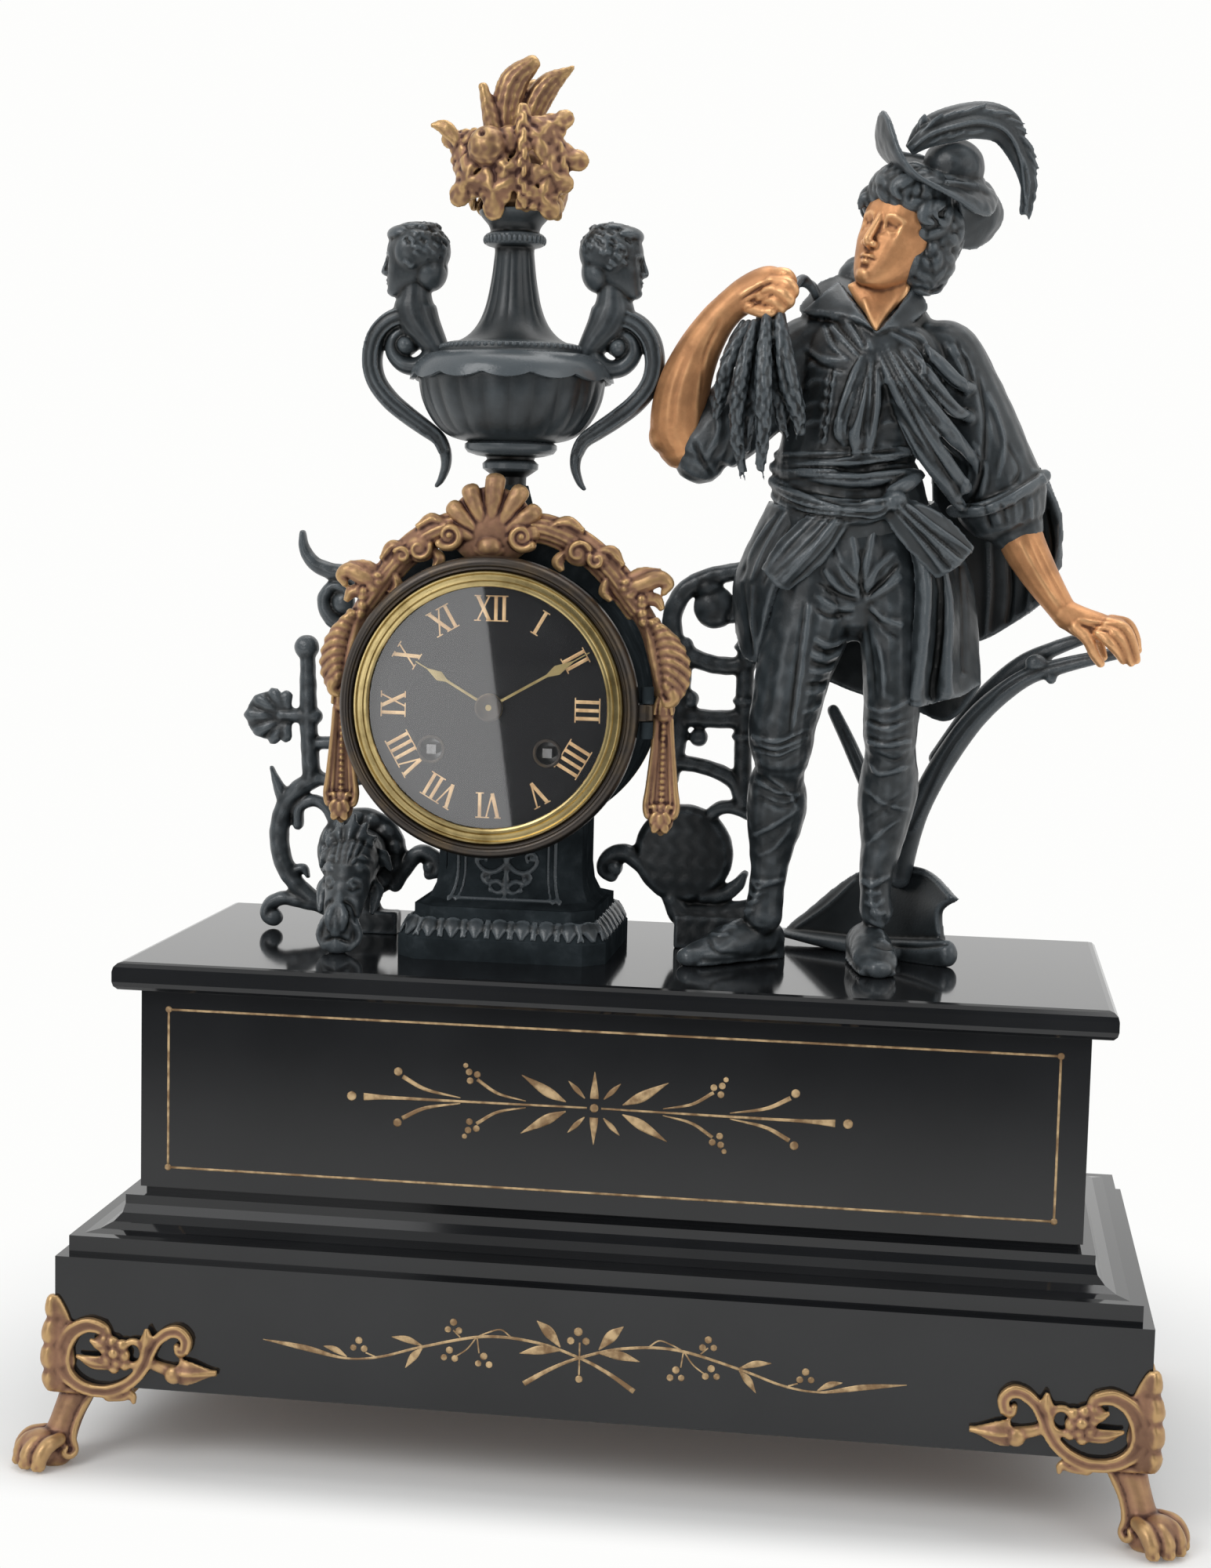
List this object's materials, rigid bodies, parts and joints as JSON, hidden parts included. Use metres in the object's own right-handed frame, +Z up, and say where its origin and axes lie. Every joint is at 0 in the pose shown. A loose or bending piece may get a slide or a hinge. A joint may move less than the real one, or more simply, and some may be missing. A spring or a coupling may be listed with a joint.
{
  "type": "figural mantel clock",
  "caption": "Mantel clock on a stepped slate base with gilt paw feet: drum case under an urn, pierced scroll brackets and a standing bronze harvester with a plough.",
  "frame": {"origin": "centre of the footprint, on the surface the feet stand on", "axes": "+Z up, -Y to the front with the dial, +X to the right seen from the front"},
  "size_m": [0.488, 0.246, 0.598],
  "materials": {
    "slate": "polished",
    "dark_patina": "waxed dark patina",
    "copper_bronze": "rubbed copper bronze",
    "old_gilt": "worn gilding",
    "steel": "turned",
    "board": "raw",
    "dial_slate": "polished",
    "glass": "clear",
    "bronzed_brass": "dark lacquer",
    "brass": "polished"
  },
  "bodies": {
    "clock_case": {"base_board": "board", "bell": "brass", "bracket_left": "dark_patina", "bracket_right": "dark_patina", "crest_shell": "old_gilt", "dado_ends": "slate", "dado_sides": "slate", "dial_plate": "dial_slate", "drum_case": "dark_patina", "figure_body": "dark_patina", "figure_cape": "dark_patina", "figure_hat": "dark_patina", "figure_head": "copper_bronze", "figure_left_forearm": "copper_bronze", "figure_right_forearm": "copper_bronze", "foot_back_left": "old_gilt", "foot_back_right": "old_gilt", "foot_front_left": "old_gilt", "foot_front_right": "old_gilt", "foot_screws": "steel", "movement_back_plate": "brass", "movement_front_plate": "brass", "pedestal": "dark_patina", "plinth_ends": "slate", "plinth_moulding": "slate", "plinth_sides": "slate", "plough_body": "dark_patina", "plough_handles": "dark_patina", "slab_fixings": "steel", "swag_left": "old_gilt", "swag_pendants": "old_gilt", "swag_right": "old_gilt", "top_slab": "slate", "urn_body": "dark_patina", "urn_bouquet": "old_gilt", "urn_handle_left": "dark_patina", "urn_handle_right": "dark_patina", "urn_socle": "dark_patina", "wheat_sheaf": "dark_patina"},
    "bezel_door": {"bezel_ring": "bronzed_brass", "bezel_sight_ring": "brass", "bezel_glass": "glass"},
    "back_door": {"back_door": "brass"},
    "minute_hand": {"cannon_pinion": "brass", "minute_hand": "brass"},
    "minute_wheel": {"minute_wheel": "brass"},
    "hour_hand": {"hour_wheel": "brass", "hour_hand": "brass"},
    "going_barrel": {"going_barrel": "brass"},
    "strike_barrel": {"strike_barrel": "brass"},
    "going_winding_arbor": {"going_winding_arbor": "steel"},
    "strike_winding_arbor": {"strike_winding_arbor": "steel"},
    "centre_wheel": {"centre_wheel": "brass"},
    "third_wheel": {"third_wheel": "brass"},
    "escape_wheel": {"escape_wheel": "brass"},
    "strike_pin_wheel": {"strike_pin_wheel": "brass"},
    "anchor": {"anchor": "steel"},
    "pendulum": {"pendulum": "brass"},
    "strike_hammer": {"strike_hammer": "steel"}
  },
  "joints": [
    {"name": "bezel_hinge", "type": "hinge", "parent": "clock_case", "child": "bezel_door", "pos_m": [0.0122, -0.058, 0.325], "axis": [0, 0, 1], "range_deg": [0, 110]},
    {"name": "back_door_hinge", "type": "hinge", "parent": "clock_case", "child": "back_door", "pos_m": [-0.1222, 0.034, 0.325], "axis": [0, 0, 1], "range_deg": [0, 110]},
    {"name": "minute_hand_turn", "type": "hinge", "parent": "clock_case", "child": "minute_hand", "pos_m": [-0.055, -0.05, 0.325], "axis": [0, 1, 0], "continuous": true},
    {"name": "minute_wheel_turn", "type": "hinge", "parent": "clock_case", "child": "minute_wheel", "pos_m": [-0.055, -0.05, 0.3082], "axis": [0, 1, 0], "continuous": true},
    {"name": "hour_hand_turn", "type": "hinge", "parent": "clock_case", "child": "hour_hand", "pos_m": [-0.055, -0.05, 0.325], "axis": [0, 1, 0], "continuous": true},
    {"name": "third_wheel_turn", "type": "hinge", "parent": "clock_case", "child": "third_wheel", "pos_m": [-0.04842, -0.03, 0.34309], "axis": [0, 1, 0], "continuous": true},
    {"name": "centre_wheel_turn", "type": "hinge", "parent": "clock_case", "child": "centre_wheel", "pos_m": [-0.055, -0.03, 0.325], "axis": [0, 1, 0], "continuous": true},
    {"name": "going_barrel_turn", "type": "hinge", "parent": "clock_case", "child": "going_barrel", "pos_m": [-0.03, -0.03, 0.30633], "axis": [0, 1, 0], "continuous": true},
    {"name": "escape_wheel_turn", "type": "hinge", "parent": "clock_case", "child": "escape_wheel", "pos_m": [-0.04564, -0.03, 0.35885], "axis": [0, 1, 0], "continuous": true},
    {"name": "strike_barrel_turn", "type": "hinge", "parent": "clock_case", "child": "strike_barrel", "pos_m": [-0.08, -0.03, 0.30633], "axis": [0, 1, 0], "continuous": true},
    {"name": "strike_pin_wheel_turn", "type": "hinge", "parent": "clock_case", "child": "strike_pin_wheel", "pos_m": [-0.08272, -0.03, 0.33741], "axis": [0, 1, 0], "continuous": true},
    {"name": "going_winding_turn", "type": "hinge", "parent": "clock_case", "child": "going_winding_arbor", "pos_m": [-0.03, -0.03, 0.30633], "axis": [0, 1, 0], "continuous": true},
    {"name": "strike_winding_turn", "type": "hinge", "parent": "clock_case", "child": "strike_winding_arbor", "pos_m": [-0.08, -0.03, 0.30633], "axis": [0, 1, 0], "continuous": true},
    {"name": "pendulum_swing", "type": "hinge", "parent": "clock_case", "child": "pendulum", "pos_m": [-0.055, -0.0095, 0.37], "axis": [0, 1, 0], "range_deg": [-3.5, 3.5]},
    {"name": "anchor_rock", "type": "hinge", "parent": "clock_case", "child": "anchor", "pos_m": [-0.055, -0.03, 0.37], "axis": [0, 1, 0], "range_deg": [-3.5, 3.5]},
    {"name": "hammer_lift", "type": "hinge", "parent": "clock_case", "child": "strike_hammer", "pos_m": [-0.069, -0.03, 0.361], "axis": [0, 1, 0], "range_deg": [0, 18]}
  ],
  "couplings": [
    {"joint": "minute_wheel_turn", "follows": "minute_hand_turn", "ratio": -0.33333},
    {"joint": "hour_hand_turn", "follows": "minute_hand_turn", "ratio": 0.083333},
    {"joint": "centre_wheel_turn", "follows": "third_wheel_turn", "ratio": -0.16667},
    {"joint": "going_barrel_turn", "follows": "third_wheel_turn", "ratio": 0.036458},
    {"joint": "escape_wheel_turn", "follows": "third_wheel_turn", "ratio": -5.4},
    {"joint": "strike_pin_wheel_turn", "follows": "strike_barrel_turn", "ratio": -4.5714},
    {"joint": "anchor_rock", "follows": "pendulum_swing", "ratio": 1}
  ]
}
